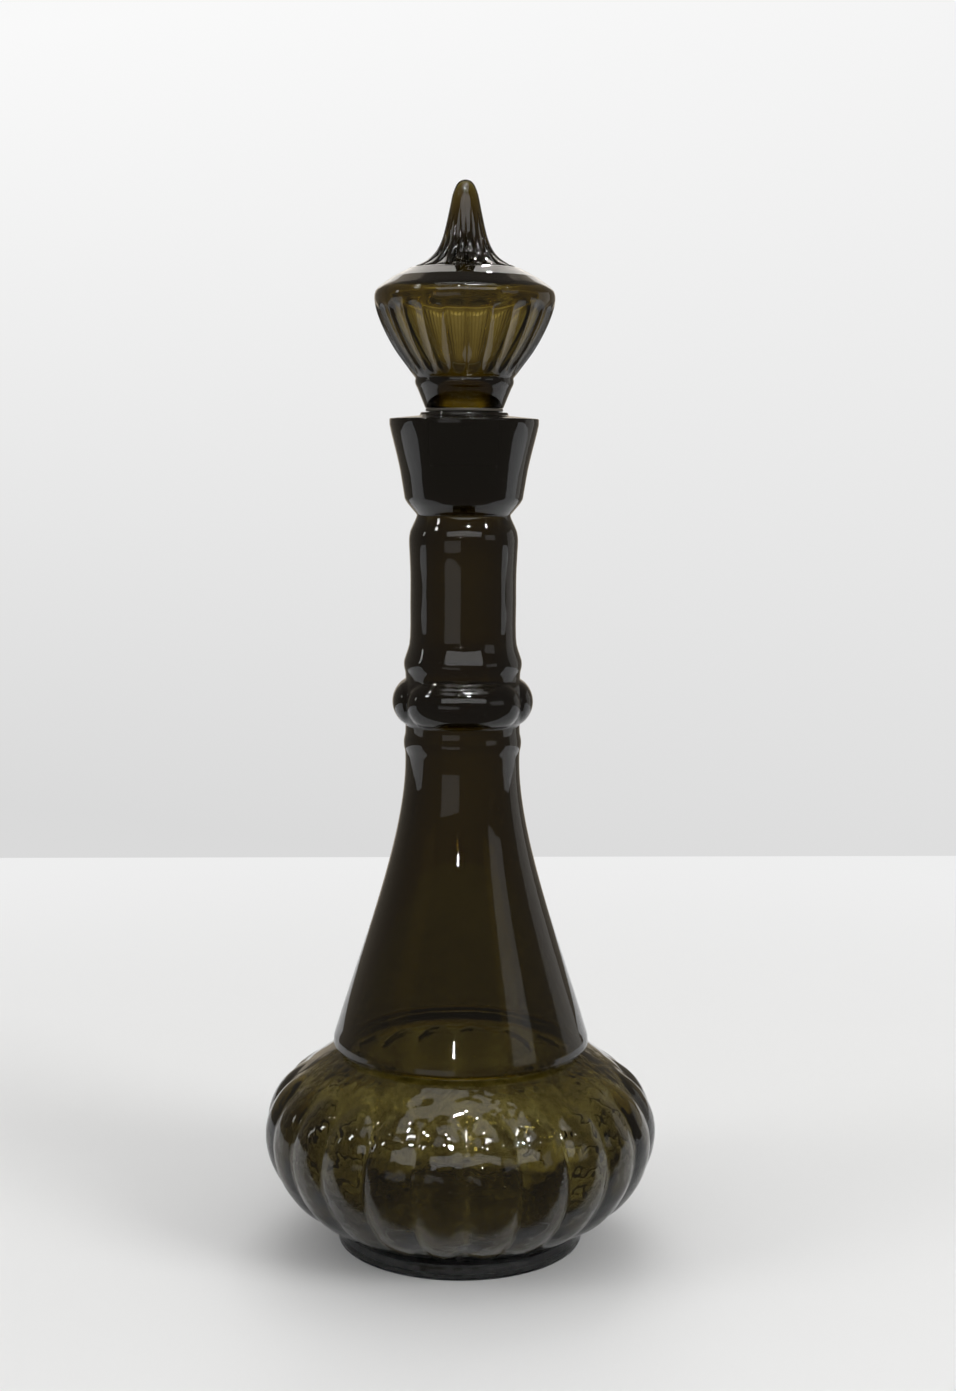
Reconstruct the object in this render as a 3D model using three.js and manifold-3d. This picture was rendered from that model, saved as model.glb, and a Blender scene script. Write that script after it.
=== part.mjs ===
// Glass whisky decanter: a one-piece moulded bottle, a hollow glass stopper and the stopper's sealing sleeve.
// Millimetres, +Z up, the origin on the table under the middle of the foot. The front of the bottle faces -Y.

import * as THREE from "three";
import { mergeVertices } from "three/addons/utils/BufferGeometryUtils.js";
import Module from "manifold-3d";

// Foot and bulb
const footRadius = 41.8;
const footHeight = 4.6;
const bearingInner = 34; // inside the flat ring that the bottle stands on
const recessDepth = 3.2; // the hollow under the base, at its middle
const bulbRadius = 66.5; // over the crests of the lobes
const bulbMiddle = 38.5; // height of the widest point
const bulbDrop = 42.5; // half height of the ellipse below the widest point
const bulbRise = 36.4; // and of the one above it
const seamRadius = 42.4;
const lobeCount = 24;
const lobeDepth = 1.7;
const lobeTop = 58; // the lobes fade out at their rounded upper ends

// Cone, bead ring and neck
const coneFoot = { radius: 43, height: 71 };
const waist = { radius: 19.1, height: 165 };
const ridgeRadius = 19.6; // the small ridges under and over the beads
const lowerRidge = 171;
const upperRidge = 197.5;
const beadCount = 3;
const beadMiddle = 184.7;
const beadRadius = 23.5; // over the beads
const beadDepth = 1.9; // of the creases between them
const beadHeight = 14.8;
const neckRadius = 17.6;
const neckTop = 239;
const pinch = { radius: 15.5, height: 246.5 };

// Collar and mouth
const collarFoot = { radius: 19.5, height: 251.8 };
const collarWaist = { radius: 21.3, height: 262.5 };
const collarLip = { radius: 24.3, height: 274.6 };
const collarTop = { radius: 24.6, height: 278.2 };
const rimRadius = 14.4;
const rimTop = 280.2;
const mouthBore = 12;

// Hollow of the bottle
const wall = 4.4;
const floorHeight = 9.4;
const neckBore = 13;

// Stopper
const gap = 0.3; // between pieces that touch
const stopperRadius = 29.5;
const stopperWidest = 317.5;
const seatHeight = 281.5; // underside of the stopper's tapered foot
const seatRadius = 12.9;
const bandRadius = 16.2; // the plain band between taper and bowl
const shankRadius = 10.5;
const shankEnd = 262;
const shankBore = 7.9;
const fluteCount = 24;
const fluteDepth = 0.7;
const tongueCount = 18; // ribs that run down the spire
const tongueRelief = 1;
const tongueEnd = 18.3; // radius of their scalloped ends
const ceilingHeight = 320;
const stopperTop = 355;

// Sealing sleeve
const sleeveThickness = 0.6;
const sleeveEnd = 264;
const finCount = 3;
const finPitch = 4.2;
const flangeThickness = 0.7;

const smokyGlass = { color: 0x2c2a16, roughness: 0.06, metalness: 0 };
const sleevePlastic = { color: 0x4a463c, roughness: 0.5, metalness: 0 };

const wasm = await Module();
wasm.setup();

// A closed solid of revolution about Z, from radius and height pairs that run up the outside.
function turned(outline, segments) {
  const profile = outline.map(([radius, height]) => new THREE.Vector2(radius, height));
  return new THREE.LatheGeometry(profile, segments).rotateX(Math.PI / 2);
}

// Presses a pattern into a surface: depthAt gives the depth at an angle from the front, a radius and a height.
function pressed(geometry, depthAt) {
  const position = geometry.attributes.position;
  const normal = geometry.attributes.normal;
  const point = new THREE.Vector3();
  const inward = new THREE.Vector3();
  for (let i = 0; i < position.count; i++) {
    point.fromBufferAttribute(position, i);
    const radius = Math.hypot(point.x, point.y);
    const depth = radius > 1e-3 ? depthAt(Math.atan2(point.x, -point.y), radius, point.z) : 0;
    inward.fromBufferAttribute(normal, i).multiplyScalar(-depth);
    point.add(inward);
    position.setXYZ(i, point.x, point.y, point.z);
  }
  return geometry;
}

// Closed geometry to a solid that can be joined and cut.
function solid(geometry) {
  geometry.deleteAttribute("normal");
  geometry.deleteAttribute("uv");
  const merged = mergeVertices(geometry, 1e-4);
  return new wasm.Manifold(
    new wasm.Mesh({
      numProp: 3,
      vertProperties: merged.attributes.position.array,
      triVerts: new Uint32Array(merged.index.array),
    }),
  );
}

function piece(name, body, finish) {
  const { vertProperties, triVerts } = body.getMesh();
  const geometry = new THREE.BufferGeometry();
  geometry.setAttribute("position", new THREE.BufferAttribute(vertProperties, 3));
  geometry.setIndex(new THREE.BufferAttribute(triVerts, 1));
  geometry.computeVertexNormals();
  const mesh = new THREE.Mesh(geometry, new THREE.MeshStandardMaterial(finish));
  mesh.name = name;
  return mesh;
}

// 0 below one value, 1 above the other, smooth between.
const ramp = (value, from, to) => THREE.MathUtils.smoothstep(value, from, to);

// Points on an ellipse about the axis between two heights, both ends included.
function ellipsePoints(radius, middle, halfHeight, from, to, steps) {
  const start = Math.asin((from - middle) / halfHeight);
  const end = Math.asin((to - middle) / halfHeight);
  return Array.from({ length: steps + 1 }, (_, i) => {
    const turn = start + ((end - start) * i) / steps;
    return [radius * Math.cos(turn), middle + halfHeight * Math.sin(turn)];
  });
}

// The concave flare from the cone's foot to the waist, drawn in by an inset for the inside.
function flarePoints(inset, steps) {
  const curve = new THREE.CubicBezierCurve(
    new THREE.Vector2(coneFoot.radius - inset, coneFoot.height),
    new THREE.Vector2(34.4 - inset, 100),
    new THREE.Vector2(waist.radius - inset, 138),
    new THREE.Vector2(waist.radius - inset, waist.height),
  );
  return curve.getPoints(steps).map(({ x, y }) => [x, y]);
}

// Height at which one of the bulb's ellipses has a given radius.
const ellipseHeight = (radius, across, middle, halfHeight) =>
  middle + halfHeight * Math.sqrt(1 - (radius / across) ** 2);

function makeBulb() {
  const seamHeight = ellipseHeight(seamRadius, bulbRadius, bulbMiddle, bulbRise);
  const outline = [
    [0, recessDepth],
    [bearingInner - 2, recessDepth * 0.6],
    [bearingInner, 0],
    [footRadius - 0.9, 0],
    [footRadius, 0.9],
    [footRadius - 0.6, footHeight],
    ...ellipsePoints(bulbRadius, bulbMiddle, bulbDrop, footHeight + 0.5, bulbMiddle, 7),
    ...ellipsePoints(bulbRadius, bulbMiddle, bulbRise, bulbMiddle, seamHeight, 7).slice(1),
    [0, seamHeight],
  ];
  const pitch = (Math.PI * 2) / lobeCount;
  return pressed(turned(outline, lobeCount * 3), (angle, radius, height) => {
    const crest = Math.abs(Math.sin((angle / pitch) * Math.PI));
    const fade = ramp(height, footHeight + 1, footHeight + 9) * (1 - ramp(height, lobeTop - 6, lobeTop + 2));
    return lobeDepth * fade * (1 - crest);
  });
}

function makeUpperBottle() {
  const seamHeight = ellipseHeight(seamRadius, bulbRadius, bulbMiddle, bulbRise);
  return turned(
    [
      [0, seamHeight - 6],
      [seamRadius - 1, seamHeight - 6],
      [seamRadius - 0.4, seamHeight + 0.5],
      [coneFoot.radius, seamHeight + 1.8],
      ...flarePoints(0, 8),
      [ridgeRadius, lowerRidge - 1.2],
      [ridgeRadius, lowerRidge + 1.2],
      [waist.radius, lowerRidge + 4.5],
      [waist.radius, upperRidge - 4],
      [ridgeRadius, upperRidge - 1],
      [ridgeRadius, upperRidge + 0.8],
      [18.4, upperRidge + 4.2],
      [neckRadius, upperRidge + 10],
      [neckRadius, upperRidge + 28],
      [neckRadius + 0.5, neckTop],
      [neckRadius - 0.4, neckTop + 3.6],
      [pinch.radius, pinch.height - 0.8],
      [pinch.radius, pinch.height + 0.8],
      [collarFoot.radius - 1.2, collarFoot.height - 1.6],
      [collarFoot.radius, collarFoot.height],
      [collarWaist.radius, collarWaist.height],
      [collarLip.radius, collarLip.height],
      [collarTop.radius, collarTop.height - 0.6],
      [collarTop.radius - 0.6, collarTop.height],
      [rimRadius + 0.3, collarTop.height + 0.9],
      [rimRadius, rimTop - 0.6],
      [rimRadius - 0.6, rimTop],
      [0, rimTop],
    ],
    36,
  );
}

// The ring of beads: a swelling round the neck with a crease between each bead and the next.
function makeBeadRing() {
  const core = waist.radius - 0.6;
  const half = beadHeight / 2;
  const [bottom, top] = [beadMiddle - half * 0.995, beadMiddle + half * 0.995];
  const swell = ellipsePoints(beadRadius - core, beadMiddle, half, bottom, top, 8);
  const outline = [[0, bottom], ...swell.map(([out, height]) => [core + out, height]), [0, top]];
  const pitch = (Math.PI * 2) / beadCount;
  return pressed(turned(outline, 96), (angle, radius, height) => {
    const across = Math.abs(Math.cos((angle / pitch) * Math.PI));
    const fade = Math.sqrt(Math.max(0, 1 - ((height - beadMiddle) / half) ** 2));
    return radius < core - 0.1 ? 0 : beadDepth * fade * (1 - across) ** 3;
  });
}

// The inside of the bottle as a solid, open through the mouth.
function makeHollow() {
  const inside = bulbRadius - wall - 0.4;
  const throat = coneFoot.radius - wall;
  const rise = bulbRise - wall;
  const throatHeight = ellipseHeight(throat, inside, bulbMiddle, rise);
  return turned(
    [
      [0, floorHeight],
      [36, floorHeight],
      ...ellipsePoints(inside, bulbMiddle, bulbDrop - wall, floorHeight + 2, bulbMiddle, 6),
      ...ellipsePoints(inside, bulbMiddle, rise, bulbMiddle, throatHeight, 5).slice(1),
      ...flarePoints(wall, 6),
      [14.8, beadMiddle],
      [neckBore, upperRidge + 8],
      [neckBore, neckTop],
      [mouthBore, pinch.height + 2],
      [mouthBore, rimTop + 1],
      [0, rimTop + 1],
    ],
    36,
  );
}

function makeBottle() {
  const body = solid(makeBulb()).add(solid(makeUpperBottle())).add(solid(makeBeadRing()));
  return piece("bottle", body.subtract(solid(makeHollow())), smokyGlass);
}

// How far a point lies down the ribbed part of the spire, as the relief that the ribs have there.
function tongueDepth(angle, radius, height) {
  const pitch = (Math.PI * 2) / tongueCount;
  const across = Math.abs(Math.sin((angle / pitch) * Math.PI)); // 0 in the valleys, 1 on the ribs
  const fade = ramp(radius, 5.5, 11);
  const end = tongueEnd - 2.2 * (1 - across);
  if (radius > tongueEnd + 0.1 || height < stopperWidest) return 0;
  return radius > end ? tongueRelief * fade : tongueRelief * fade * (1 - across);
}

function makeStopperBody() {
  const outline = [
    [0, shankEnd],
    [shankRadius - 0.8, shankEnd],
    [shankRadius, shankEnd + 0.8],
    [shankRadius, seatHeight],
    [seatRadius, seatHeight],
    [bandRadius - 0.3, 289],
    [bandRadius, 289.6],
    [bandRadius, 291.4],
    [18.1, 293.9],
    [22.7, 300.1],
    [26, 306],
    [28.5, 312],
    [stopperRadius, stopperWidest],
    [29.2, 319.8],
    [26.8, 321.9],
    [21.6, 324.5],
    [tongueEnd + 0.5, 326],
    [tongueEnd, 326.4],
    [16.2, 327.2],
    [13.8, 328.4],
    [11.5, 329.9],
    [9.7, 331.7],
    [8.2, 334.2],
    [6.6, 339.2],
    [5.2, 345.4],
    [4.1, 350.6],
    [3.1, 353.2],
    [1.6, 354.7],
    [0, stopperTop],
  ];
  const flutePitch = (Math.PI * 2) / fluteCount;
  return pressed(turned(outline, 72), (angle, radius, height) => {
    const across = Math.abs(Math.cos((angle / flutePitch) * Math.PI)); // 1 on the ridges
    const fade = ramp(height, 291.4, 296) * (1 - ramp(height, 311, 316));
    return fluteDepth * fade * (1 - across) + tongueDepth(angle, radius, height);
  });
}

function makeStopperHollow() {
  return turned(
    [
      [0, shankEnd - 1],
      [shankBore, shankEnd - 1],
      [shankBore, 288],
      [11, 292],
      [18.5, 299.5],
      [23.5, 307.5],
      [25.6, 314],
      [25, ceilingHeight - 2],
      [23, ceilingHeight - 0.6],
      [0, ceilingHeight + 1],
    ],
    36,
  );
}

function makeStopper() {
  return piece("stopper", solid(makeStopperBody()).subtract(solid(makeStopperHollow())), smokyGlass);
}

// Ribbed liner round the shank, with a thin flange between the rim and the stopper's seat.
function makeSleeve() {
  const inner = shankRadius + gap;
  const outer = inner + sleeveThickness;
  const finRadius = mouthBore - gap;
  const flangeBottom = rimTop + gap;
  const fins = Array.from({ length: finCount }, (_, i) => {
    const height = sleeveEnd + 2.4 + i * finPitch;
    return [[outer, height - 0.9], [finRadius, height], [outer, height + 0.9]];
  });
  const outline = [
    [inner, sleeveEnd],
    [outer - 0.2, sleeveEnd],
    ...fins.flat(),
    [outer, flangeBottom],
    [seatRadius - 0.2, flangeBottom],
    [seatRadius - 0.2, flangeBottom + flangeThickness],
    [inner, flangeBottom + flangeThickness],
    [inner, sleeveEnd],
  ];
  return piece("stopper_sleeve", solid(turned(outline, 36)), sleevePlastic);
}

const decanter = new THREE.Group();
decanter.add(makeBottle(), makeStopper(), makeSleeve());

export default decanter;
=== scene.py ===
from math import asin, atan2, ceil, cos, degrees, hypot, pi, radians, sin, sqrt

import bmesh
import bpy
from mathutils import Euler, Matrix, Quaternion, Vector


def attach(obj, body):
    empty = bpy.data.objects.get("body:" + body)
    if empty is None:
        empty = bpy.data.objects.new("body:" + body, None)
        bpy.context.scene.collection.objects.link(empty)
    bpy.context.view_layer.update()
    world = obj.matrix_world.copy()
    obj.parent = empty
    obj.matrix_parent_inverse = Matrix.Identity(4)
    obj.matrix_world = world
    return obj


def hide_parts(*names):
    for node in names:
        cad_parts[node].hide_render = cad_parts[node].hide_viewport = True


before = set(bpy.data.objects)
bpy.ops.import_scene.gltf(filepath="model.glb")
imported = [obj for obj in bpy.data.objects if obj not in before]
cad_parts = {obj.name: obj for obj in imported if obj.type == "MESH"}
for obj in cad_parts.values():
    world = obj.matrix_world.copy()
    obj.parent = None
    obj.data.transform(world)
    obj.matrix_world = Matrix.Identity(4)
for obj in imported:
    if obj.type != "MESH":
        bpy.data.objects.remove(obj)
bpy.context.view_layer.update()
mm = 0.001
nearby = 0.001  # points this close in millimetres count as one place
weldDistance = 0.003  # millimetres


# outlines are lists of (radius, height) in millimetres

mostOfSide = 0.32  # the share of a side that a rounding may take
ringBeside = 1.4  # where the ring beside a rounding lies, in lengths of its cut


def roundCorners(corners, steps=4):
    # a corner with a third number is cut back that far on both sides and rounded
    line = []
    for i, corner in enumerate(corners):
        if len(corner) == 2:
            line.append(corner)
            continue
        here = Vector(corner[:2])
        before = Vector(corners[i - 1][:2]) - here
        after = Vector(corners[i + 1][:2]) - here
        cut = min(corner[2], mostOfSide * before.length, mostOfSide * after.length)
        before.normalize()
        after.normalize()
        line.append(tuple(here + before * cut * ringBeside))  # keeps the rounding's shading off the flat
        for k in range(steps + 1):
            t = k / steps
            line.append(tuple(here + before * cut * (1 - t) ** 2 + after * cut * t * t))
        line.append(tuple(here + after * cut * ringBeside))
    return line


def ovalArc(across, middle, halfHeight, fromHeight, toHeight, steps):
    # part of an ellipse about the axis, between two heights
    start, end = (asin((height - middle) / halfHeight) for height in (fromHeight, toHeight))
    angles = [start + (end - start) * k / steps for k in range(steps + 1)]
    return [(across * cos(angle), middle + halfHeight * sin(angle)) for angle in angles]


def flareArc(corners, steps):
    # a cubic curve with its two middle corners as pulls
    line = []
    for k in range(steps + 1):
        t = k / steps
        weights = ((1 - t) ** 3, 3 * t * (1 - t) ** 2, 3 * t * t * (1 - t), t ** 3)
        line.append(tuple(sum(w * corner[axis] for w, corner in zip(weights, corners)) for axis in (0, 1)))
    return line


def softCurve(points, spacing):
    # a smooth curve through all the points, with a ring about every spacing
    line = [tuple(points[0])]
    for i in range(len(points) - 1):
        start, end = Vector(points[i]), Vector(points[i + 1])
        along = end - start
        before = start - Vector(points[i - 1]) if i else along
        after = Vector(points[i + 2]) - end if i < len(points) - 2 else along
        startPull = (along.normalized() + before.normalized()) * min(along.length, 2 * before.length) / 2
        endPull = (along.normalized() + after.normalized()) * min(along.length, 2 * after.length) / 2
        steps = max(1, ceil(along.length / spacing))
        for k in range(1, steps + 1):
            t = k / steps
            line.append(tuple((2 * t ** 3 - 3 * t * t + 1) * start + (t ** 3 - 2 * t * t + t) * startPull
                              + (3 * t * t - 2 * t ** 3) * end + (t ** 3 - t * t) * endPull))
    return line


# modelling steps

def drawOutline(name, line):
    # draws the line point by point in front of the axis
    bpy.ops.object.select_all(action="DESELECT")
    radius, height = line[0]
    bpy.ops.mesh.primitive_plane_add(size=mm, location=(0, -radius * mm, height * mm))
    piece = bpy.context.object
    piece.name = piece.data.name = name
    bpy.ops.object.transform_apply(location=True, rotation=True, scale=True)
    bpy.ops.object.mode_set(mode="EDIT")
    bpy.ops.mesh.select_mode(type="VERT")
    bpy.ops.mesh.merge(type="CENTER")
    for nextRadius, nextHeight in line[1:]:
        step = (0, (radius - nextRadius) * mm, (nextHeight - height) * mm)
        bpy.ops.mesh.extrude_vertices_move(TRANSFORM_OT_translate={"value": step})
        radius, height = nextRadius, nextHeight
    return piece


def pressPattern(piece, line, depthAt):
    # presses each ring towards the axis or the hollow, all points of one depth together
    for i in range(1, len(line) - 1):
        radius, height = line[i]
        mesh = bmesh.from_edit_mesh(piece.data)
        groups = {}
        for vertex in mesh.verts:
            x, y, z = vertex.co
            if abs(z - height * mm) < nearby * mm and abs(hypot(x, y) - radius * mm) < nearby * mm:
                depth = round(depthAt(degrees(atan2(x, -y)), radius, height), 4)
                groups.setdefault(depth, []).append(vertex.index)
        groups.pop(0, None)
        across, up = line[i + 1][0] - line[i - 1][0], line[i + 1][1] - line[i - 1][1]
        length = hypot(across, up)
        for depth, indices in groups.items():
            bpy.ops.mesh.select_all(action="DESELECT")
            mesh = bmesh.from_edit_mesh(piece.data)
            mesh.verts.ensure_lookup_table()
            for index in indices:
                mesh.verts[index].select = True
            mesh.select_flush(True)
            scale = 1 - depth * abs(up) / length / radius
            bpy.ops.transform.resize(value=(scale, scale, 1), center_override=(0, 0, height * mm))
            rise = depth * across / length * (1 if up > 0 else -1)
            if abs(rise) > nearby:
                bpy.ops.transform.translate(value=(0, 0, rise * mm))


def turnPiece(name, stretches, columns, copies):
    # spins one slice of the outline, presses each stretch's pattern and copies the slice round the axis
    piece = drawOutline(name, [point for line, depthAt in stretches for point in line])
    bpy.ops.mesh.select_all(action="SELECT")
    bpy.ops.mesh.spin(steps=columns // copies, angle=2 * pi / copies, center=(0, 0, 0), axis=(0, 0, 1))
    for line, depthAt in stretches:
        if depthAt:
            pressPattern(piece, line, depthAt)
    if copies > 1:
        bpy.ops.mesh.select_all(action="SELECT")
        bpy.ops.mesh.spin(steps=copies - 1, dupli=True, angle=2 * pi * (copies - 1) / copies,
                          center=(0, 0, 0), axis=(0, 0, 1))
    bpy.ops.mesh.select_all(action="SELECT")
    bpy.ops.mesh.remove_doubles(threshold=weldDistance * mm)
    bpy.ops.mesh.normals_make_consistent(inside=False)
    bpy.ops.object.mode_set(mode="OBJECT")
    bpy.ops.object.shade_smooth()
    return piece


def waveInside(piece, look):
    # the inner wall never touched the mould, so it flows in soft waves, strongest low down
    group = piece.vertex_groups.new(name="innerWall")
    for vertex in piece.data.vertices:
        x, y, z = vertex.co / mm
        inward = vertex.normal.x * x + vertex.normal.y * y < -look["inward"] * hypot(x, y)
        if inward and look["from"] < z < look["to"]:
            ends = min(1, (z - look["from"]) / look["fade"], (look["to"] - z) / look["fade"])
            share = min(1, max(look["least"], 1 - (z - look["full"]) / look["fade"]))
            group.add([vertex.index], ends * share, "REPLACE")
    waves = bpy.data.textures.new(piece.name + "Waves", "CLOUDS")
    waves.noise_scale = look["size"] * mm
    waves.noise_depth = 0
    displace = piece.modifiers.new("waves", "DISPLACE")
    displace.texture = waves
    displace.texture_coords = "LOCAL"
    displace.vertex_group = group.name
    displace.strength = look["height"] * mm
    bpy.context.view_layer.objects.active = piece
    bpy.ops.object.modifier_apply(modifier=displace.name)
    piece.vertex_groups.clear()


def finishPiece(piece, body, node, finish):
    piece.data.materials.clear()
    piece.data.materials.append(finish)
    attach(piece, body)
    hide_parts(node)
    print(f"{piece.name}: {len(piece.data.polygons)} faces")


# node helpers

def ramp(nodes, links, value, low, high, bottom=0.0, top=1.0):
    # brings a value between two limits to between two others, smoothly
    remap = nodes.new("ShaderNodeMapRange")
    remap.interpolation_type = "SMOOTHSTEP"
    for name, limit in (("From Min", low), ("From Max", high), ("To Min", bottom), ("To Max", top)):
        remap.inputs[name].default_value = limit
    links.new(value, remap.inputs["Value"])
    return remap.outputs["Result"]


def blend(nodes, links, factor, first, second):
    # mixes two numbers, each a socket or a plain value
    mix = nodes.new("ShaderNodeMix")
    links.new(factor, mix.inputs["Factor"])
    for name, value in (("A", first), ("B", second)):
        if isinstance(value, float):
            mix.inputs[name].default_value = value
        else:
            links.new(value, mix.inputs[name])
    return mix.outputs["Result"]


# finishes

glassLook = {
    "ior": 1.51, "tint": (0.97, 0.97, 0.95),
    "bottleAbsorb": (0.5, 0.45, 0.1), "bottleDensity": 930.0,
    "stopperAbsorb": (0.5, 0.44, 0.06), "stopperDensity": 680.0,
    "sharp": 0.004, "smudged": 0.05,
    "smudgeScale": 55.0, "smudgeDetail": 5.0, "smudgeFrom": 0.5, "smudgeTo": 0.72,
    "waveScale": 85.0, "waveDetail": 2.0, "waveHeight": 0.0008,
    "waveAbove": 0.05, "bulbEnd": 0.075, "bulbFade": 0.01,
}
# the sleeve's plastic is painted near black, as painted shade for the gap under the stopper's seat where
# its flange shows; the plastic itself is natural and pale
paintedShadePlasticLook = {"color": (0.07, 0.06, 0.045), "roughness": 0.45, "clear": 0.3, "ior": 1.5}


def newMaterial(name):
    material = bpy.data.materials.new(name)
    material.use_nodes = True
    nodes, links = material.node_tree.nodes, material.node_tree.links
    return material, nodes, links, nodes["Principled BSDF"]


def makeSmokyGlass(name, look, color, density):
    material, nodes, links, shader = newMaterial(name)
    place = nodes.new("ShaderNodeTexCoord")
    shader.inputs["Base Color"].default_value = (*look["tint"], 1)
    shader.inputs["IOR"].default_value = look["ior"]
    shader.inputs["Transmission Weight"].default_value = 1
    # faint smudges leave some patches a little less sharp
    smudge = nodes.new("ShaderNodeTexNoise")
    smudge.inputs["Scale"].default_value = look["smudgeScale"]
    smudge.inputs["Detail"].default_value = look["smudgeDetail"]
    patch = nodes.new("ShaderNodeMapRange")
    patch.inputs["From Min"].default_value = look["smudgeFrom"]
    patch.inputs["From Max"].default_value = look["smudgeTo"]
    patch.inputs["To Min"].default_value = look["sharp"]
    patch.inputs["To Max"].default_value = look["smudged"]
    links.new(place.outputs["Object"], smudge.inputs["Vector"])
    links.new(smudge.outputs["Fac"], patch.inputs["Value"])
    links.new(patch.outputs["Result"], shader.inputs["Roughness"])
    # the mould leaves a slow wave in the surface, most of it on the bulb
    wave = nodes.new("ShaderNodeTexNoise")
    wave.inputs["Scale"].default_value = look["waveScale"]
    wave.inputs["Detail"].default_value = look["waveDetail"]
    bump = nodes.new("ShaderNodeBump")
    bump.inputs["Strength"].default_value = 1
    bump.inputs["Distance"].default_value = look["waveHeight"]
    split = nodes.new("ShaderNodeSeparateXYZ")
    share = nodes.new("ShaderNodeMath")
    share.operation = "MULTIPLY"
    links.new(place.outputs["Object"], split.inputs["Vector"])
    end = look["bulbEnd"]
    onBulb = ramp(nodes, links, split.outputs["Z"], end - look["bulbFade"], end, 1.0, look["waveAbove"])
    links.new(onBulb, share.inputs[0])
    links.new(wave.outputs["Fac"], share.inputs[1])
    links.new(place.outputs["Object"], wave.inputs["Vector"])
    links.new(share.outputs["Value"], bump.inputs["Height"])
    links.new(bump.outputs["Normal"], shader.inputs["Normal"])
    absorb = nodes.new("ShaderNodeVolumeAbsorption")
    absorb.inputs["Color"].default_value = (*color, 1)
    absorb.inputs["Density"].default_value = density
    links.new(absorb.outputs["Volume"], nodes["Material Output"].inputs["Volume"])
    return material


def makeSleevePlastic(look):
    material, nodes, links, shader = newMaterial("sleevePaintedShadePlastic")
    # this colour is painted shade, far darker than the pale plastic's own
    shader.inputs["Base Color"].default_value = (*look["color"], 1)
    shader.inputs["Roughness"].default_value = look["roughness"]
    shader.inputs["Transmission Weight"].default_value = look["clear"]
    shader.inputs["IOR"].default_value = look["ior"]
    return material


bottleGlass = makeSmokyGlass("bottleGlass", glassLook,
                             glassLook["bottleAbsorb"], glassLook["bottleDensity"])
stopperGlass = makeSmokyGlass("stopperGlass", glassLook,
                              glassLook["stopperAbsorb"], glassLook["stopperDensity"])
sleevePaintedShadePlastic = makeSleevePlastic(paintedShadePlasticLook)
print("finishes ready")


# bottle

bottleShape = {
    "recess": 3.2, "recessFlat": 16, "recessEdge": (31.6, 2),
    "bearingInner": 34.2, "foot": 41.8, "footTop": 4.6,
    "bulb": 66.5, "bulbMiddle": 38.5, "bulbDrop": 42.5, "bulbRise": 36.4, "bulbSteps": (42, 32),
    "seam": 42.4,
    "cone": ((43.0, 71.0), (34.4, 100.0), (19.1, 138.0), (19.1, 165.0)), "coneSteps": 34,
    "ridge": 19.6, "lowRidge": 170.9, "highRidge": 197.3, "waist": 19.1,
    "neck": 17.6, "neckTop": 238.5, "pinch": 15.5, "pinchHeight": 246.6,
    "collarFoot": 19.5, "collarBase": 251.9, "collarFlare": ((21.3, 262.5), (24.1, 274)),
    "collarTop": 24.6, "collarHeight": 278.2, "rim": 14.4, "rimTop": 280.2, "columns": 384,
    "lobes": {
        "count": 24, "depth": 1.7, "lowEnd": 6.5, "lowSpring": 17.0, "highSpring": 51.0, "highEnd": 60.5,
        "highFade": 0.35, "lowFade": 0.5, "runOut": 5.5, "inside": 0.35,
    },
    "beads": {
        "count": 3, "middle": 184.7, "halfHeight": 7.4, "ring": 2.4, "ringRound": 0.75,
        "bead": 2.0, "beadRound": 0.7, "halfArc": 24.6, "endRound": 8.5,
    },
    "hollow": {
        "mouth": 12.0, "mouthEnd": 249,
        "neckBore": 13.0, "neckTop": 239, "neckEnd": 205.5, "throat": (14.6, 186),
        "wall": 4.4, "coneSteps": 22, "bulbWall": 3.2, "bulbSteps": (16, 18),
        "floor": 9.4, "floorEdge": 37.5, "floorFlat": 20,
    },
    "waves": {
        "from": 12, "to": 200, "full": 60, "least": 0.25, "fade": 8, "inward": 0.05,
        "size": 20.0, "height": 1.1,
    },
}


def bottleBase(shape):
    # from the middle of the recess over the foot ring to the bulb's lower end
    recess, foot, footTop = shape["recess"], shape["foot"], shape["footTop"]
    return roundCorners([(0, recess), (shape["recessFlat"], recess), (*shape["recessEdge"], 2),
                         (shape["bearingInner"], 0, 0.8), (foot, 0, 0.9), (foot - 0.6, footTop, 0.4),
                         (foot - 0.5, footTop + 0.7)])


def bottleBody(shape):
    # the bulb, the step at its seam and the cone
    middle, lowSteps, highSteps = shape["bulbMiddle"], *shape["bulbSteps"]
    seam = middle + shape["bulbRise"] * sqrt(1 - (shape["seam"] / shape["bulb"]) ** 2)
    bulb = ovalArc(shape["bulb"], middle, shape["bulbDrop"], shape["footTop"] + 0.9, middle, lowSteps)
    bulb += ovalArc(shape["bulb"], middle, shape["bulbRise"], middle, seam, highSteps)[1:]
    cone = flareArc(shape["cone"], shape["coneSteps"])
    step = roundCorners([bulb[-1], (shape["seam"] - 1.0, seam + 0.7, 0.5),
                         (cone[0][0] + 0.3, seam + 2.1, 0.5), (*cone[0], 0.6), cone[3]])[1:]
    return bulb + step[:-1] + cone[3:]


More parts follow.
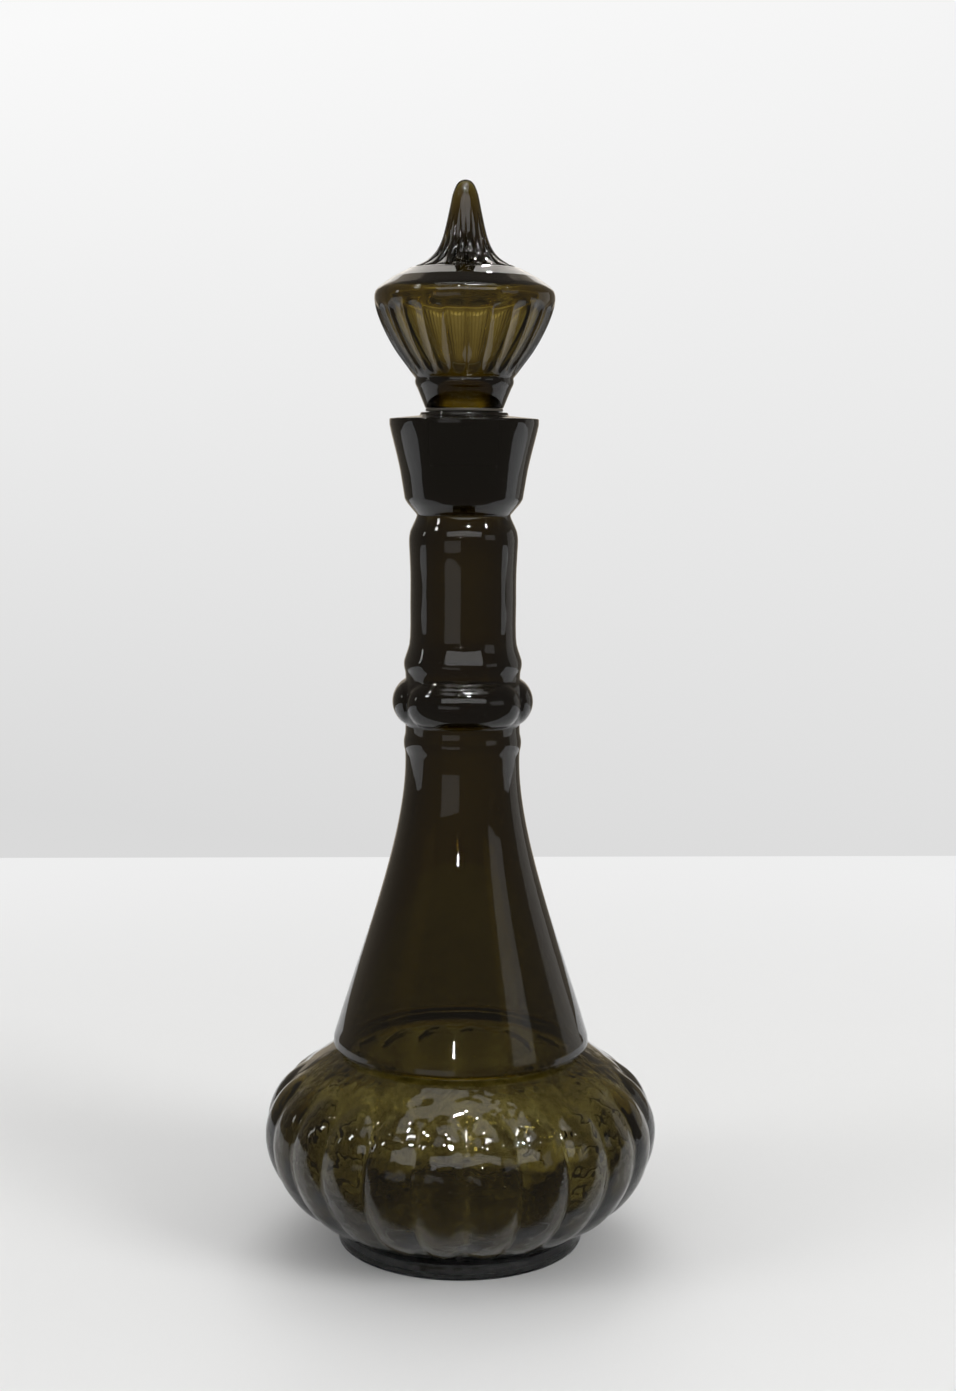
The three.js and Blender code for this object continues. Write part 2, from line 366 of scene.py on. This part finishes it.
def bottleNeck(shape, start):
    # the two ridges with the waist for the beads between them, the straight neck and the pinch
    waist, ridge, low, high = shape["waist"], shape["ridge"], shape["lowRidge"], shape["highRidge"]
    rings = softCurve([start, (waist + 0.1, low - 3), (ridge, low - 1), (ridge, low + 1),
                       (waist + 0.1, low + 3), (waist, low + 5.5), (waist, high - 4.5),
                       (waist + 0.1, high - 2.7), (ridge, high - 0.9), (ridge, high + 0.9),
                       (waist - 0.2, high + 3.2)], 0.75)[1:]
    neck, neckTop, pinch = shape["neck"], shape["neckTop"], shape["pinch"]
    return rings + softCurve([rings[-1], (neck + 0.3, high + 6.5), (neck, high + 11), (neck, high + 20),
                              (neck, high + 30), (neck + 0.3, neckTop - 4), (neck + 0.45, neckTop),
                              (neck + 0.1, neckTop + 2.6), (neck - 0.9, neckTop + 5),
                              (pinch + 0.4, shape["pinchHeight"] - 1.4)], 2.5)[1:]


def bottleCollar(shape, mouth, start):
    # the flared collar, its top and the raised rim of the mouth
    foot, base = shape["collarFoot"], shape["collarBase"]
    top, height = shape["collarTop"], shape["collarHeight"]
    collar = roundCorners([start, (shape["pinch"] - 0.1, shape["pinchHeight"], 0.8),
                           (foot - 0.9, base - 1.5, 1.0), (foot, base, 0.8), (foot + 0.5, base + 3.1)])[1:]
    collar += softCurve([collar[-1], *shape["collarFlare"], (top - 0.05, height - 2)], 2.5)[1:]
    rim, rimTop = shape["rim"], shape["rimTop"]
    return collar + roundCorners([collar[-1], (top, height - 0.05, 0.5), (rim + 0.2, height + 0.9, 0.5),
                                  (rim - 0.1, rimTop, 0.6), (mouth, rimTop, 0.7), (mouth, rimTop - 3)])[1:]


def bottleOutside(shape):
    # from the middle of the base up to the mouth's rim
    body = bottleBase(shape) + bottleBody(shape)
    neck = bottleNeck(shape, body[-1])
    return body + neck + bottleCollar(shape, shape["hollow"]["mouth"], neck[-1])


def bottleInside(shape):
    # from the mouth's bore down to the middle of the floor
    hollow = shape["hollow"]
    middle, floor, highSteps, lowSteps = shape["bulbMiddle"], hollow["floor"], *hollow["bulbSteps"]
    outer = flareArc(shape["cone"], hollow["coneSteps"])
    cone = [(radius - hollow["wall"], height) for radius, height in reversed(outer)]
    throat, across = cone[-1][0], shape["bulb"] - hollow["bulbWall"]
    rise, drop = shape["bulbRise"] - hollow["bulbWall"], shape["bulbDrop"] - hollow["bulbWall"]
    throatHeight = middle + rise * sqrt(1 - (throat / across) ** 2)
    neck = softCurve([(hollow["mouth"], shape["rimTop"] - 6), (hollow["mouth"], hollow["mouthEnd"]),
                      (hollow["neckBore"], hollow["neckTop"]), (hollow["neckBore"], hollow["neckEnd"]),
                      hollow["throat"], cone[0]], 6)
    bulb = ovalArc(across, middle, rise, throatHeight, middle, highSteps)
    bulb += ovalArc(across, middle, drop, middle, floor + 1.6, lowSteps)[1:]
    ground = roundCorners([bulb[-1], (hollow["floorEdge"], floor, 2.5), (hollow["floorFlat"], floor),
                           (0, floor)])[1:]
    return neck[:-1] + cone + bulb + ground


def bottleDepth(angle, radius, height):
    # how far the outside lies in from its outline, or out where the number is negative
    lobes, beads = bottleShape["lobes"], bottleShape["beads"]
    if lobes["lowEnd"] - 1 < height < lobes["highEnd"] + lobes["runOut"] and radius > bottleShape["foot"]:
        pitch = 360 / lobes["count"]
        across = (angle % pitch) / pitch * 2 - 1  # -1 and 1 in the creases, 0 on the crest
        upward = max(0, (height - lobes["highSpring"]) / (lobes["highEnd"] - lobes["highSpring"]))
        downward = max(0, (lobes["lowSpring"] - height) / (lobes["lowSpring"] - lobes["lowEnd"]))
        swell = max(0, 1 - across ** 2 - upward ** 2 - downward ** 2)
        fade = 1 - lobes["highFade"] * min(1, upward) ** 2 - lobes["lowFade"] * min(1, downward) ** 2
        fade *= 1 - min(1, max(0, (height - lobes["highEnd"]) / lobes["runOut"])) ** 2
        fade *= 1 - min(1, max(0, lobes["lowEnd"] - height)) ** 2
        return lobes["depth"] * fade * (1 - swell)
    along = (height - beads["middle"]) / beads["halfHeight"]
    if abs(along) < 1:
        pitch = 360 / beads["count"]
        across = abs(((angle + pitch / 2) % pitch) / pitch * 2 - 1)  # 1 in the creases, 0 mid-bead
        end = max(0, 1 - (1 - across) * beads["halfArc"] / beads["endRound"])
        bead = max(0, 1 - along ** 2 - end ** 2) ** beads["beadRound"]
        return -beads["ring"] * (1 - along ** 2) ** beads["ringRound"] - beads["bead"] * bead
    return 0


def bottleInsideDepth(angle, radius, height):
    # the bulb's inner wall follows the lobes more softly
    lobes = bottleShape["lobes"]
    pitch = 360 / lobes["count"]
    across = (angle % pitch) / pitch * 2 - 1
    along = (height - bottleShape["bulbMiddle"]) / (lobes["highEnd"] - bottleShape["bulbMiddle"])
    return lobes["depth"] * lobes["inside"] * across ** 2 * max(0, 1 - along ** 2)


bottle = turnPiece("bottle_glass", [(bottleOutside(bottleShape), bottleDepth),
                                    (bottleInside(bottleShape), bottleInsideDepth)],
                   bottleShape["columns"], bottleShape["beads"]["count"])
waveInside(bottle, bottleShape["waves"])
finishPiece(bottle, "bottle", "bottle", bottleGlass)


# stopper

stopperShape = {
    "top": 355.0, "tip": ((0.8, 0.1), (1.9, 0.6), (2.9, 1.7), (3.5, 3)),
    "spire": ((4.1, 350.4), (5.2, 345.3), (6.5, 339.4), (7.4, 336.2), (8.5, 333.6), (10, 331.3),
              (12, 329.5), (14.3, 328.1), (16.4, 327.2)),
    "tongueEnd": (18.3, 326.4), "shoulderEdge": (23.6, 323.6), "shoulderStart": (25.2, 322.44),
    "shoulder": ((26.6, 321.43), (28, 320.35), (29.1, 319.1)), "widest": (29.5, 317.5),
    "bowl": ((29.3, 315), (28.4, 311.6), (26, 306), (22.7, 300.2), (18.3, 294.2)),
    "band": 16.2, "bandHeight": 290.5, "foot": 15.4, "seat": 12.9, "seatHeight": 281.5,
    "shank": 10.5, "shankEnd": 262.0, "columns": 360, "copies": 6,
    "tongues": {"count": 18, "relief": 1.3, "inner": 5.2, "full": 10.0, "endRound": 2.2, "sharpness": 1.3},
    "flutes": {
        "count": 24, "depth": 1.0,
        "lowEnd": 292.5, "lowSpring": 297.0, "highSpring": 312.0, "highEnd": 314.6,
    },
    "hollow": {
        "bore": 8.7, "boreFrom": 268, "boreTo": 286,
        "bowl": ((8.8, 288.8), (10.9, 291.6), (17.7, 299.7), (22.8, 307.4), (25.1, 312.5), (25.6, 316)),
        "ceilingEdge": 25.4, "ceiling": 318.9,
    },
}


def stopperOutside(shape):
    # from the tip down to the end of the shank
    top, (endRadius, endHeight), bore = shape["top"], shape["tongueEnd"], shape["hollow"]["bore"]
    tip = [(radius, top - drop) for radius, drop in shape["tip"]]
    spire = softCurve([(0, top), *tip, *shape["spire"], (endRadius, endHeight)], 0.7)
    slope = roundCorners([spire[-1], (endRadius + 0.8, endHeight - 0.5, 0.3), (*shape["shoulderEdge"], 0.2),
                          shape["shoulderStart"]])[1:]
    shoulder = softCurve([slope[-1], *shape["shoulder"], shape["widest"], *shape["bowl"]], 0.9)[1:]
    band, bandHeight = shape["band"], shape["bandHeight"]
    lower = softCurve([shoulder[-1], (band + 0.4, bandHeight + 1.4), (band - 0.15, bandHeight + 0.7),
                       (band, bandHeight), (band - 0.1, bandHeight - 1.1),
                       (shape["foot"], bandHeight - 2.6), (shape["seat"] + 0.3, shape["seatHeight"] + 1)],
                      0.6)[1:]
    shank, shankEnd = shape["shank"], shape["shankEnd"]
    plug = roundCorners([lower[-1], (shape["seat"] - 0.1, shape["seatHeight"], 0.4),
                         (shank, shape["seatHeight"], 0.5), (shank, shankEnd, 0.9), (bore, shankEnd, 0.7),
                         (bore, shankEnd + 3)])[1:]
    return spire + slope + shoulder + lower + plug


def stopperInside(hollow):
    # up the shank's bore and round the hollow bowl to the middle of its ceiling
    bore, ceiling = hollow["bore"], hollow["ceiling"]
    bowl = softCurve([(bore, hollow["boreFrom"]), (bore, hollow["boreTo"]), *hollow["bowl"]], 2)
    return bowl + roundCorners([bowl[-1], (hollow["ceilingEdge"], ceiling, 0.7), (0, ceiling)])[1:]


def stopperDepth(angle, radius, height):
    # the tongues of the spire and the flutes of the bowl
    tongues, flutes = stopperShape["tongues"], stopperShape["flutes"]
    endRadius, endHeight = stopperShape["tongueEnd"]
    if height > endHeight:
        pitch = 360 / tongues["count"]
        across = (angle % pitch) / pitch * 2 - 1  # -1 and 1 in the valleys
        fade = min(1, max(0, (radius - tongues["inner"]) / (tongues["full"] - tongues["inner"])))
        outward = max(0, (radius - endRadius + tongues["endRound"]) / tongues["endRound"])
        swell = max(0, 1 - across ** 2 - outward ** 2)
        return tongues["relief"] * fade * (1 - swell) ** tongues["sharpness"]
    if flutes["lowEnd"] < height < flutes["highEnd"]:
        pitch = 360 / flutes["count"]
        across = (angle % pitch) / pitch * 2 - 1  # -1 and 1 on the ridges
        upward = max(0, (height - flutes["highSpring"]) / (flutes["highEnd"] - flutes["highSpring"]))
        downward = max(0, (flutes["lowSpring"] - height) / (flutes["lowSpring"] - flutes["lowEnd"]))
        return flutes["depth"] * max(0, 1 - across ** 2 - upward ** 2 - downward ** 2)
    return 0


stopper = turnPiece("stopper_glass", [(stopperOutside(stopperShape), stopperDepth),
                                      (stopperInside(stopperShape["hollow"]), None)],
                    stopperShape["columns"], stopperShape["copies"])
finishPiece(stopper, "stopper", "stopper", stopperGlass)


# sleeve

sleeveShape = {
    "bore": 10.8, "wall": 0.6, "end": 264.0, "fins": 3, "firstFin": 2.4, "finPitch": 4.2, "fin": 11.7,
    "flange": 12.7, "flangeBottom": 280.5, "flangeTop": 281.4, "columns": 144,
}


def sleeveOutline(shape):
    # up the ribbed outside, round the flange and down the bore
    bore, outer, end, fin = shape["bore"], shape["bore"] + shape["wall"], shape["end"], shape["fin"]
    corners = [(bore + 0.3, end), (outer, end, 0.2)]
    for i in range(shape["fins"]):
        height = end + shape["firstFin"] + i * shape["finPitch"]
        corners += [(outer, height - 1), (fin, height - 0.1, 0.15), (fin, height + 0.3, 0.15),
                    (outer, height + 0.5)]
    low, high, flange = shape["flangeBottom"], shape["flangeTop"], shape["flange"]
    corners += [(outer, low, 0.3), (flange, low, 0.2), (flange, high, 0.2), (bore, high, 0.25),
                (bore, end, 0.2), (bore + 0.3, end)]
    return roundCorners(corners, 2)


sleeve = turnPiece("stopper_sleeve_plastic", [(sleeveOutline(sleeveShape), None)],
                   sleeveShape["columns"], 1)
finishPiece(sleeve, "sleeve", "stopper_sleeve", sleevePaintedShadePlastic)


# stage

stage = {
    "wallLine": 0.646, "floorSize": 8.0,
    "floorColor": (0.83, 0.83, 0.825), "floorRough": 0.7, "floorShine": 0.2,
    "glow": 0.86, "glowFrom": 0.2, "glowTo": 0.7, "paintedRoomStart": -0.06, "paintedRoomFade": 0.01,
    "wallLow": 0.70, "wallHigh": 0.95, "wallFrom": -0.2, "wallTo": 0.22, "wallTilt": -0.9,
    "ambient": 0.53, "room": 0.2, "roomTint": (1.0, 0.88, 0.72),
    "mirroredWidth": 0.36, "mirroredTop": 0.62, "mirroredWall": 0.65, "wallFade": 0.06,
    "backdropEdge": 0.78, "backdropFade": 0.3, "throughRoom": 0.12,
}
# each lamp: turn and height in degrees as seen from lampMiddle, distance, width, length, radiance
lampMiddle = (0, 0, 0.17)
softboxes = {
    "keySoftbox": (54, 22, 2.0, 0.85, 0.85, 9.0),
    "fillSoftbox": (-70, 20, 2.0, 0.85, 0.85, 4.5),
    "topSoftbox": (0, 85, 1.6, 1.0, 1.0, 0.5),
    "backSoftbox": (178, 50, 2.0, 1.2, 1.2, 1.6),
}
highlights = {
    "frontPanel": (0, 32, 1.6, 2.2, 0.55, 1.5),
    "ceilingPanel": (-4, 84, 1.6, 1.2, 0.4, 1.2),
    "slopePanel": (178, 36, 1.6, 0.9, 1.15, 1.0),
    "panelLeft": (-38, 58, 1.6, 0.5, 0.35, 1.0),
    "panelRight": (45, 62, 1.6, 0.5, 0.4, 1.0),
    "panelBeads": (22, 64, 1.6, 0.5, 0.35, 2.0),
    "panelSide": (119, 0, 1.5, 0.8, 1.0, 0.3),
    "windowRight": (15, 64, 1.6, 0.26, 0.20, 18.0),
    "windowLeft": (-72, 37, 1.6, 0.16, 0.16, 18.0),
    "streakLeft": (-97, 18, 1.5, 0.09, 0.25, 4.0),
    "streakFront": (-25, 0, 1.6, 1.0, 0.35, 0.45),
    "streakRight": (57, 15, 1.5, 0.6, 0.4, 0.5),
    "bulbFront": (-12, 54, 1.7, 0.07, 0.07, 400.0),
    "bulbMiddle": (12, 50, 1.7, 0.09, 0.09, 400.0),
    "bulbRight": (60, 42, 1.7, 0.06, 0.06, 400.0),
    "bulbLeft": (-84, 52, 1.7, 0.06, 0.06, 400.0),
    "bulbBack": (164, 54, 1.7, 0.08, 0.08, 400.0),
    "zenithGlint": (0, 81, 1.7, 0.06, 0.06, 350.0),
    "bulbLow": (-8, 14, 1.7, 0.03, 0.05, 250.0),
}


def makeFloor(look):
    bpy.ops.object.select_all(action="DESELECT")
    half = look["floorSize"] / 2
    bpy.ops.mesh.primitive_plane_add(size=look["floorSize"], location=(0, look["wallLine"] - half, 0))
    floor = bpy.context.object
    floor.name = floor.data.name = "pale_floor"
    bpy.ops.object.transform_apply(location=True)
    material, nodes, links, shader = newMaterial("paleFloor")
    shader.inputs["Base Color"].default_value = (*look["floorColor"], 1)
    shader.inputs["Roughness"].default_value = look["floorRough"]
    shader.inputs["Specular IOR Level"].default_value = look["floorShine"]
    place = nodes.new("ShaderNodeTexCoord")
    split = nodes.new("ShaderNodeSeparateXYZ")
    distance = nodes.new("ShaderNodeVectorMath")
    distance.operation = "LENGTH"
    links.new(place.outputs["Object"], split.inputs["Vector"])
    links.new(place.outputs["Object"], distance.inputs[0])
    # far from the bottle the floor glows by itself, so that it stays pale beyond the lamps
    glow = nodes.new("ShaderNodeEmission")
    glow.inputs["Strength"].default_value = look["glow"]
    far = nodes.new("ShaderNodeMixShader")
    glowing = ramp(nodes, links, distance.outputs["Value"], look["glowFrom"], look["glowTo"])
    links.new(glowing, far.inputs["Fac"])
    links.new(shader.outputs["BSDF"], far.inputs[1])
    links.new(glow.outputs["Emission"], far.inputs[2])
    # to mirrored rays the floor is painted as a dim room from just in front of the foot onwards, a painted
    # reflection, while the camera sees the pale floor go on
    paintedRoom = nodes.new("ShaderNodeEmission")
    paintedRoom.inputs["Strength"].default_value = look["room"]
    paintedRoom.inputs["Color"].default_value = (*look["roomTint"], 1)
    mirrored = nodes.new("ShaderNodeMixShader")
    path = nodes.new("ShaderNodeLightPath")
    end = look["paintedRoomStart"]
    beyond = ramp(nodes, links, split.outputs["Y"], end - look["paintedRoomFade"], end, 1.0, 0.0)
    links.new(blend(nodes, links, path.outputs["Is Glossy Ray"], 0.0, beyond), mirrored.inputs["Fac"])
    links.new(far.outputs["Shader"], mirrored.inputs[1])
    links.new(paintedRoom.outputs["Emission"], mirrored.inputs[2])
    links.new(mirrored.outputs["Shader"], nodes["Material Output"].inputs["Surface"])
    floor.data.materials.append(material)


def makeWorld(look):
    world = bpy.data.worlds.new("studio")
    world.use_nodes = True
    bpy.context.scene.world = world
    nodes, links = world.node_tree.nodes, world.node_tree.links
    place = nodes.new("ShaderNodeTexCoord")
    split = nodes.new("ShaderNodeSeparateXYZ")
    links.new(place.outputs["Generated"], split.inputs["Vector"])
    # the wall brightens upwards, a little more so on the left
    tilt = nodes.new("ShaderNodeMath")
    climb = nodes.new("ShaderNodeMath")
    wall = nodes.new("ShaderNodeMapRange")
    tilt.operation = "MULTIPLY_ADD"
    tilt.inputs[1].default_value = look["wallTilt"]
    tilt.inputs[2].default_value = 1
    climb.operation = "MULTIPLY"
    links.new(split.outputs["X"], tilt.inputs[0])
    links.new(tilt.outputs["Value"], climb.inputs[0])
    links.new(split.outputs["Z"], climb.inputs[1])
    wall.inputs["From Min"].default_value = look["wallFrom"]
    wall.inputs["From Max"].default_value = look["wallTo"]
    wall.inputs["To Min"].default_value = look["wallLow"]
    wall.inputs["To Max"].default_value = look["wallHigh"]
    links.new(climb.outputs["Value"], wall.inputs["Value"])
    # a mirrored ray meets the wall only behind the bottle, and the dim room elsewhere
    aside = nodes.new("ShaderNodeMath")
    aside.operation = "ABSOLUTE"
    links.new(split.outputs["X"], aside.inputs[0])
    backdrop = nodes.new("ShaderNodeMath")
    backdrop.operation = "MULTIPLY"
    width, top, fade = look["mirroredWidth"], look["mirroredTop"], look["wallFade"]
    links.new(ramp(nodes, links, aside.outputs["Value"], width - fade, width, 1.0, 0.0), backdrop.inputs[0])
    links.new(ramp(nodes, links, split.outputs["Y"], top - fade, top), backdrop.inputs[1])
    mirror = nodes.new("ShaderNodeMath")
    mirror.operation = "MULTIPLY"
    mirror.inputs[1].default_value = look["mirroredWall"]
    links.new(wall.outputs["Result"], mirror.inputs[0])
    mirrored = blend(nodes, links, backdrop.outputs["Value"], look["room"], mirror.outputs["Value"])
    # glass that bends light far to the side looks past the backdrop into the room
    edge = look["backdropEdge"]
    middle = ramp(nodes, links, split.outputs["Y"], edge - look["backdropFade"], edge)
    through = blend(nodes, links, middle, look["throughRoom"], wall.outputs["Result"])
    # the camera sees the wall itself, and where it just lights things it is even
    path = nodes.new("ShaderNodeLightPath")
    light = blend(nodes, links, path.outputs["Is Glossy Ray"], look["ambient"], mirrored)
    light = blend(nodes, links, path.outputs["Is Transmission Ray"], light, through)
    light = blend(nodes, links, path.outputs["Is Camera Ray"], light, wall.outputs["Result"])
    tint = nodes.new("ShaderNodeMix")
    tint.data_type = "RGBA"
    tint.inputs["A"].default_value = (1, 1, 1, 1)
    tint.inputs["B"].default_value = (*look["roomTint"], 1)
    links.new(path.outputs["Is Glossy Ray"], tint.inputs["Factor"])
    background = nodes["Background"]
    links.new(tint.outputs["Result"], background.inputs["Color"])
    links.new(light, background.inputs["Strength"])


def makeLamps(lamps, lightsThings):
    # softboxes light things and aren't mirrored, highlights are only mirrored
    middle = Vector(lampMiddle)
    for name, (turn, height, distance, width, length, radiance) in lamps.items():
        turn, height = radians(turn), radians(height)
        towards = Vector((sin(turn) * cos(height), -cos(turn) * cos(height), sin(height)))
        bpy.ops.object.select_all(action="DESELECT")
        bpy.ops.object.light_add(type="AREA", location=middle + towards * distance)
        lamp = bpy.context.object
        lamp.name = lamp.data.name = name
        lamp.data.shape = "RECTANGLE"
        lamp.data.size, lamp.data.size_y = width, length
        lamp.data.energy = radiance * pi * width * length
        lamp.rotation_euler = (-towards).to_track_quat("-Z", "Y").to_euler()
        lamp.visible_camera = False
        lamp.visible_diffuse = lightsThings
        lamp.visible_glossy = not lightsThings


cameraLook = {
    "distance": 0.669, "eyeHeight": 0.268, "round": 2.0, "yaw": 0.437, "pitch": 6.94, "roll": 0.367,
    "focal": 2018.0, "frameHeight": 1391.0, "nearest": 0.01, "farthest": 50,
}
lightPaths = {"bounces": 24, "glossy": 8}


def makeCamera(look):
    around = radians(look["round"])
    place = (-look["distance"] * sin(around), -look["distance"] * cos(around), look["eyeHeight"])
    bpy.ops.object.select_all(action="DESELECT")
    bpy.ops.object.camera_add(location=place)
    camera = bpy.context.object
    camera.data.lens = camera.data.sensor_width * look["focal"] / look["frameHeight"]
    heading = Euler((radians(90 - look["pitch"]), 0, -around - radians(look["yaw"]))).to_quaternion()
    camera.rotation_euler = (heading @ Quaternion((0, 0, 1), radians(look["roll"]))).to_euler()
    camera.data.clip_start, camera.data.clip_end = look["nearest"], look["farthest"]
    bpy.context.scene.camera = camera


makeFloor(stage)
makeWorld(stage)
makeLamps(softboxes, True)
makeLamps(highlights, False)
print(f"stage ready, {len(softboxes) + len(highlights)} lamps")
makeCamera(cameraLook)
print("camera ready")
scene = bpy.context.scene
scene.view_settings.view_transform = "Standard"
scene.cycles.caustics_reflective = False
scene.cycles.caustics_refractive = False
scene.cycles.max_bounces = lightPaths["bounces"]
scene.cycles.transmission_bounces = lightPaths["bounces"]
scene.cycles.glossy_bounces = lightPaths["glossy"]

bpy.context.view_layer.update()
